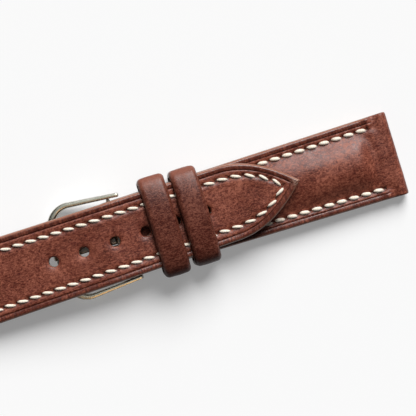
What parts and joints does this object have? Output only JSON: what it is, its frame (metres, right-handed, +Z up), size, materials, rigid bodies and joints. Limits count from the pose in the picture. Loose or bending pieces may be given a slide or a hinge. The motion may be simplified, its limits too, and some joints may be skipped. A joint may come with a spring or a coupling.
{
  "type": "watch strap",
  "caption": "Padded brown leather watch strap in two halves, saddle stitched, with a steel pin buckle and two keepers, laid out closed.",
  "frame": {"origin": "centre of the footprint, on the table that the strap lies on", "axes": "+X along the strap towards the short strap's lug end, +Y across it, +Z up"},
  "size_m": [0.1444, 0.0238, 0.0101],
  "materials": {
    "leather": "waxed grain",
    "keeper_leather": "waxed grain, darker",
    "lining": "matte",
    "felt": "matte",
    "thread": "waxed",
    "steel": "polished",
    "bar_steel": "turned"
  },
  "bodies": {
    "short_strap": {"short_upper": "leather", "short_core": "felt", "short_padding": "felt", "short_lining": "lining", "short_lug_strip": "lining", "fixed_keeper": "keeper_leather", "short_thread_left": "thread", "short_thread_right": "thread", "bar_tube": "bar_steel", "bar_spring": "bar_steel"},
    "free_keeper_loop": {"free_keeper": "keeper_leather", "free_keeper_thread": "thread"},
    "buckle": {"buckle_frame": "steel"},
    "tongue": {"buckle_tongue": "steel"},
    "plunger_left": {"bar_plunger_left": "bar_steel"},
    "plunger_right": {"bar_plunger_right": "bar_steel"},
    "long_strap": {"long_upper": "leather", "long_core": "felt", "long_padding": "felt", "long_lining": "lining", "long_lug_strip": "lining", "long_thread": "thread"}
  },
  "joints": [
    {"name": "buckle_hinge", "type": "hinge", "parent": "short_strap", "child": "buckle", "pos_m": [0.004, 0, 0.00363], "axis": [0, -1, 0], "range_deg": [0, 100]},
    {"name": "tongue_hinge", "type": "hinge", "parent": "buckle", "child": "tongue", "pos_m": [0.004, 0, 0.00363], "axis": [0, 1, 0], "range_deg": [0, 5]},
    {"name": "free_keeper_slide", "type": "slide", "parent": "short_strap", "child": "free_keeper_loop", "axis": [0.9995, 0, -0.032], "range_m": [-0.0011, 0.0015]},
    {"name": "long_strap_slide", "type": "slide", "parent": "short_strap", "child": "long_strap", "axis": [-0.9992, -0.0227, 0.032], "range_m": [0, 0.003]},
    {"name": "plunger_left_slide", "type": "slide", "parent": "short_strap", "child": "plunger_left", "axis": [0, -1, 0], "range_m": [0, 0.0009], "stiffness_N_per_m": 300, "springref_m": -0.002, "deforming": ["bar_spring"]},
    {"name": "plunger_right_slide", "type": "slide", "parent": "short_strap", "child": "plunger_right", "axis": [0, 1, 0], "range_m": [0, 0.0009], "stiffness_N_per_m": 300, "springref_m": -0.002, "deforming": ["bar_spring"]}
  ]
}
